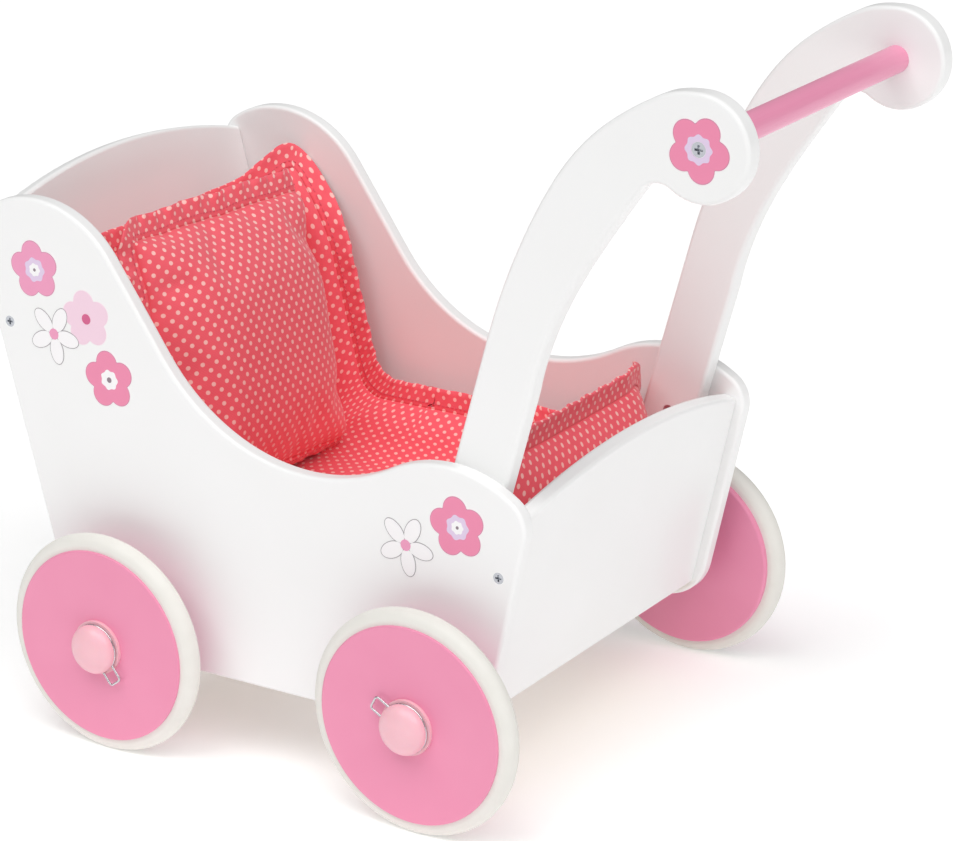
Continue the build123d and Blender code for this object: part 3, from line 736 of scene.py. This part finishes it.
# %% The line that the mattress follows
LEAN = math.radians(14)
BEND_RADIUS = 40 * MM
TIGHTEST = 16 * MM  # radius of a bend at the pad's raised margins
PAD_THICK = 36 * MM
board_lo, board_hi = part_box("floor_board")
pad_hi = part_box("mattress")[1]
DEPTH = PAD_THICK / 2 + 1 * MM  # of the pad's middle above the boards
TURN = math.pi / 2 - LEAN
corner_shift = DEPTH * (1 / math.cos(LEAN) - math.tan(LEAN))
head_corner = board_lo.x + corner_shift
foot_corner = board_hi.x - corner_shift
floor_z = board_hi.z + DEPTH
HEAD_RISE, FOOT_RISE = -14 * MM, 0 * MM  # of the pad's ends above its own solid and the foot board
head_run = (pad_hi.z + HEAD_RISE - floor_z) / math.cos(LEAN)
foot_run = (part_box("foot_panel")[1].z + FOOT_RISE - floor_z) / math.cos(LEAN)
tangent = BEND_RADIUS * math.tan(TURN / 2)
arc = BEND_RADIUS * TURN
stations = np.cumsum(
    [0, head_run - tangent, arc, foot_corner - head_corner - 2 * tangent, arc, foot_run - tangent]
)
PAD_LENGTH = stations[-1]
print("mattress line is", round(PAD_LENGTH / MM), "mm long")

fine = np.linspace(-0.05, PAD_LENGTH + 0.05, 4001)
heading = np.interp(fine, stations[1:5], [-TURN, 0, 0, TURN])
pace = fine[1] - fine[0]
line_x = np.concatenate([[0], np.cumsum(np.cos((heading[1:] + heading[:-1]) / 2))]) * pace
line_z = np.concatenate([[0], np.cumsum(np.sin((heading[1:] + heading[:-1]) / 2))]) * pace
floor_start = stations[2]
line_x += head_corner + tangent - np.interp(floor_start, fine, line_x)
line_z += floor_z - np.interp(floor_start, fine, line_z)


# %% [markdown]
# The raised margins stand further from the boards than the bend's radius, where a plain offset of
# the line would cross itself. So past a limit a point no longer moves square to the line. Inside
# a bend it moves along the bend's bisector, and near a bend it slides away from the corner as it
# rises.

# %% How margins rise near the bends
RISE_LIMIT = BEND_RADIUS - TIGHTEST
SLIDE_REACH = 45 * MM
normal_x, normal_z = -np.sin(heading), np.cos(heading)
past_head = stations[1] - fine  # distance before the head bend
before_floor, after_floor = fine - stations[2], stations[3] - fine
past_foot = fine - stations[4]
slide = np.where(past_head > 0, -np.exp(-past_head / SLIDE_REACH), 0)
head_half = (before_floor > 0) & (fine < PAD_LENGTH / 2)
foot_half = (after_floor > 0) & (fine >= PAD_LENGTH / 2)
slide += np.where(head_half, np.exp(-before_floor / SLIDE_REACH), 0)
slide -= np.where(foot_half, np.exp(-after_floor / SLIDE_REACH), 0)
slide += np.where(past_foot > 0, np.exp(-past_foot / SLIDE_REACH), 0)
slide *= math.tan(TURN / 2)
rise_x = normal_x + slide * np.cos(heading)
rise_z = normal_z + slide * np.sin(heading)
for first, last, middle in ((1, 2, -TURN / 2), (3, 4, TURN / 2)):
    bent = (fine >= stations[first]) & (fine <= stations[last])
    rise_x[bent] = -math.sin(middle) / math.cos(TURN / 2)
    rise_z[bent] = math.cos(middle) / math.cos(TURN / 2)

# %% Lay a flat pad in the tub
CURL_START = 60 * MM
CURL_RADIUS = 42 * MM
CURL_MOST = math.radians(84)
HEAD_ZONE, FOOT_ZONE = 0.06, 0.085  # metres of each end where the pad is gathered in
HEAD_GATHER, FOOT_GATHER = 0.13, 0.22  # share of the width that the gathers take up
HEAD_UNCURL, FOOT_UNCURL = 0.58, 0.72  # share of the curl that is lost at each end
CORNER_ZONE = (0.07, 0.12)  # metres from the middle line, where the corners begin and end
HEAD_EAR, FOOT_BLUNT = 14 * MM, 20 * MM  # the corners go up at the head and back at the foot
FOOT_STAND_OFF = 20 * MM  # of the foot's edge from the board, on top of the pad's own depth
STAND_OFF_ZONE = 0.07


def smoothstep(value, low, high):
    """Runs from 0 at low to 1 at high as t^2 (3 - 2t)."""
    t = np.clip((value - low) / (high - low), 0, 1)
    return t * t * (3 - 2 * t)


def lie_in_tub(points):
    """Carries flat points to the tub: y = y0 + (R - h) sin(a), and rise = R - (R - h) cos(a)."""
    s = points[:, 0] + PAD_LENGTH / 2
    at_head = 1 - smoothstep(s, 0, HEAD_ZONE)
    at_foot = smoothstep(s, PAD_LENGTH - FOOT_ZONE, PAD_LENGTH)
    t = np.abs(points[:, 1]) * (1 - HEAD_GATHER * at_head - FOOT_GATHER * at_foot)
    corner = smoothstep(t, *CORNER_ZONE)
    s = s - HEAD_EAR * corner * at_head - FOOT_BLUNT * corner * at_foot
    most = CURL_MOST * (1 - HEAD_UNCURL * at_head - FOOT_UNCURL * at_foot)
    angle = np.clip((t - CURL_START) / CURL_RADIUS, 0, most)
    beyond = t - CURL_START - CURL_RADIUS * angle
    beyond = np.where(t > CURL_START, beyond, 0)
    inner = CURL_RADIUS - points[:, 2]
    across = np.minimum(t, CURL_START) + inner * np.sin(angle) + beyond * np.cos(angle)
    rise = CURL_RADIUS - inner * np.cos(angle) + beyond * np.sin(angle)
    rise += FOOT_STAND_OFF * smoothstep(s, PAD_LENGTH - STAND_OFF_ZONE, PAD_LENGTH)
    turn = np.interp(s, fine, heading)
    square = np.minimum(rise, RISE_LIMIT)
    more = rise - square
    x = np.interp(s, fine, line_x) - square * np.sin(turn) + more * np.interp(s, fine, rise_x)
    z = np.interp(s, fine, line_z) + square * np.cos(turn) + more * np.interp(s, fine, rise_z)
    return np.stack([x, np.sign(points[:, 1]) * across, z], -1)


# %% Sew a cushion
def sew(name, length, width, body, place, thickness, pressure, ripple, node_name):
    """Makes a stuffed body, its flange and its stitches flat, and carries them to their place."""
    points, faces, rim = flat_cushion(length, width, 6 * MM, 0.22 * thickness)
    body_piece, swollen = stuff(name, points, faces, body, pressure, thickness)
    loop, flat_loop = swollen[rim], points[rim]
    dense = np.linspace(0, len(loop), 4 * len(loop), endpoint=False)
    wrap = np.arange(len(loop) + 1)
    loop = np.stack(
        [np.interp(dense, wrap, np.append(loop[:, k], loop[0, k])) for k in range(3)], -1
    )
    flat_loop = np.stack(
        [np.interp(dense, wrap, np.append(flat_loop[:, k], flat_loop[0, k])) for k in range(3)], -1
    )
    loop = smooth_loop(loop, 30)
    body_piece.data.vertices.foreach_set("co", place(swollen).astype(np.float32).ravel())
    face_outwards(body_piece)
    finish = body_piece.modifiers.new("Subdivision", "SUBSURF")
    finish.levels = finish.render_levels = 1
    border, uv = flange(loop, flat_loop, FLANGE_MM * MM, 1.6 * MM, ripple)
    shape = border.shape
    flat = border.reshape(-1, 3)
    quads = grid_quads(shape[0], shape[1], closed=True)
    edge_piece = new_piece(f"{name}_flange", place(flat), quads, body, uv.reshape(-1, 2))
    for piece in (body_piece, edge_piece):
        piece.data.materials.append(dotted_cotton)
    seam = loop + 2.2 * MM * outward_of(loop)
    thread, thread_faces = stitches(seam, 3.4 * MM, 2.5 * MM, 0.35 * MM, 0.9 * MM)
    sewing = new_piece(f"{name}_stitches", place(thread), thread_faces, body)
    sewing.data.materials.append(sewing_thread)
    face_outwards(edge_piece)
    face_outwards(sewing)
    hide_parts(node_name)
    return body_piece


sewing_thread, tree, shader = start_material("spun_cotton_thread", IOR=1.5, Roughness=0.8)
place_in = add(tree, "ShaderNodeTexCoord").outputs["Object"]
twist = noise(tree, place_in, 0.6).outputs["Fac"]
tree.links.new(between(tree, twist, "#D9475C", "#EC7484"), shader.inputs["Base Color"])

FLANGE_MM = 13
PAD_WIDTH = 262 * MM
PAD_PRESSURE = 1.1
PAD_RIPPLE = 0.7 * MM
pad_body_length = PAD_LENGTH - 2 * FLANGE_MM * MM
sew(
    "mattress_cover",
    pad_body_length,
    PAD_WIDTH,
    "mattress",
    lie_in_tub,
    PAD_THICK,
    PAD_PRESSURE,
    PAD_RIPPLE,
    "mattress",
)

# %% [markdown]
# ## Pillow
# The pillow is a smaller cushion of the same cloth. It leans on the head end of the mattress,
# turned a little. Its far and lower borders fold back behind it, and the near and upper ones
# stand free.

# %% Pillow
cad_pillow_lo, cad_pillow_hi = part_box("pillow")
PILLOW_LEAN = math.radians(13)
PILLOW_ROLL = math.radians(3.2)
PILLOW_YAW = math.radians(3.5)
PILLOW_AHEAD, PILLOW_DOWN = 8 * MM, 9 * MM  # from the middle of its solid
FAR_FOLD, LOW_FOLD = 84 * MM, 82 * MM  # where the far and the lower edges start to fold back
pillow_middle = (cad_pillow_lo + cad_pillow_hi) / 2


def lean_on_head(points):
    """Carries flat points to the pillow's place: x up the head, y across, height forwards."""
    up, across, forward = points[:, 0], points[:, 1], points[:, 2]
    far = np.clip(across - FAR_FOLD, 0, None)
    low = np.clip(-up - LOW_FOLD, 0, None)
    across = across - 0.5 * far
    up = up + 0.6 * low
    forward = forward - 0.85 * far - 0.7 * low
    cos_roll, sin_roll = math.cos(PILLOW_ROLL), math.sin(PILLOW_ROLL)
    rolled_up = up * cos_roll - across * sin_roll
    rolled_across = up * sin_roll + across * cos_roll
    front = forward - rolled_across * math.sin(PILLOW_YAW)
    x = pillow_middle.x - rolled_up * math.sin(PILLOW_LEAN) + front * math.cos(PILLOW_LEAN)
    z = pillow_middle.z + rolled_up * math.cos(PILLOW_LEAN) + front * math.sin(PILLOW_LEAN)
    x, z = x + PILLOW_AHEAD, z - PILLOW_DOWN
    return np.stack([x, pillow_middle.y + rolled_across, z], -1)


PILLOW_LENGTH, PILLOW_WIDTH, PILLOW_THICK = 170 * MM, 184 * MM, 60 * MM
PILLOW_PRESSURE = 3.0
PILLOW_RIPPLE = 1.7 * MM
sew(
    "pillow_cover",
    PILLOW_LENGTH,
    PILLOW_WIDTH,
    "pillow",
    lean_on_head,
    PILLOW_THICK,
    PILLOW_PRESSURE,
    PILLOW_RIPPLE,
    "pillow",
)

# %% [markdown]
# ## Studio
# A catalogue picture has no background: the floor is white and so bright that only the soft
# shadows under the object show. One broad soft light comes from high on the left and one from
# behind the handle, and the white surroundings fill the shadows.

# %% Floor and light
floor_radius = 6.0
turns = np.linspace(0, 2 * math.pi, 64, endpoint=False)
rings = np.array([0.0, 0.5, 1.5, floor_radius])
floor_points = np.stack(
    [
        rings[:, None] * np.cos(turns),
        rings[:, None] * np.sin(turns),
        np.zeros((len(rings), len(turns))),
    ],
    -1,
)
floor_mesh = bpy.data.meshes.new("studio_floor")
floor_mesh.from_pydata(
    floor_points.reshape(-1, 3).tolist(), [], grid_quads(4, 64, closed=True).tolist()
)
studio_floor = bpy.data.objects.new("studio_floor", floor_mesh)
bpy.context.scene.collection.objects.link(studio_floor)
paper, tree, shader = start_material("white_paper_sweep", Roughness=0.9)
shader.inputs["Base Color"].default_value = linear("#FAFAFA")
shader.inputs["Emission Color"].default_value = linear("#FFFFFF")
shader.inputs["Emission Strength"].default_value = 0.24
floor_mesh.materials.append(paper)

world = bpy.data.worlds.new("white_room")
world.use_nodes = True
world.node_tree.nodes["Background"].inputs["Color"].default_value = (1, 1, 1, 1)
world.node_tree.nodes["Background"].inputs["Strength"].default_value = 0.26
bpy.context.scene.world = world
bpy.context.scene.view_settings.view_transform = "Standard"


def soft_light(name, source, strength, spread):
    """A distant light from a direction. Its spread, the angle across, softens the shadows."""
    lamp = bpy.data.lights.new(name, "SUN")
    lamp.energy = strength
    lamp.angle = math.radians(spread)
    stand = bpy.data.objects.new(name, lamp)
    stand.rotation_mode = "QUATERNION"
    stand.rotation_quaternion = Vector(source).to_track_quat("Z", "Y")
    bpy.context.scene.collection.objects.link(stand)


soft_light("key_light", (-0.4, -1.5, 2.7), 1.12, 40)
soft_light("fill_light", (1.6, -0.9, 2.3), 1.35, 50)
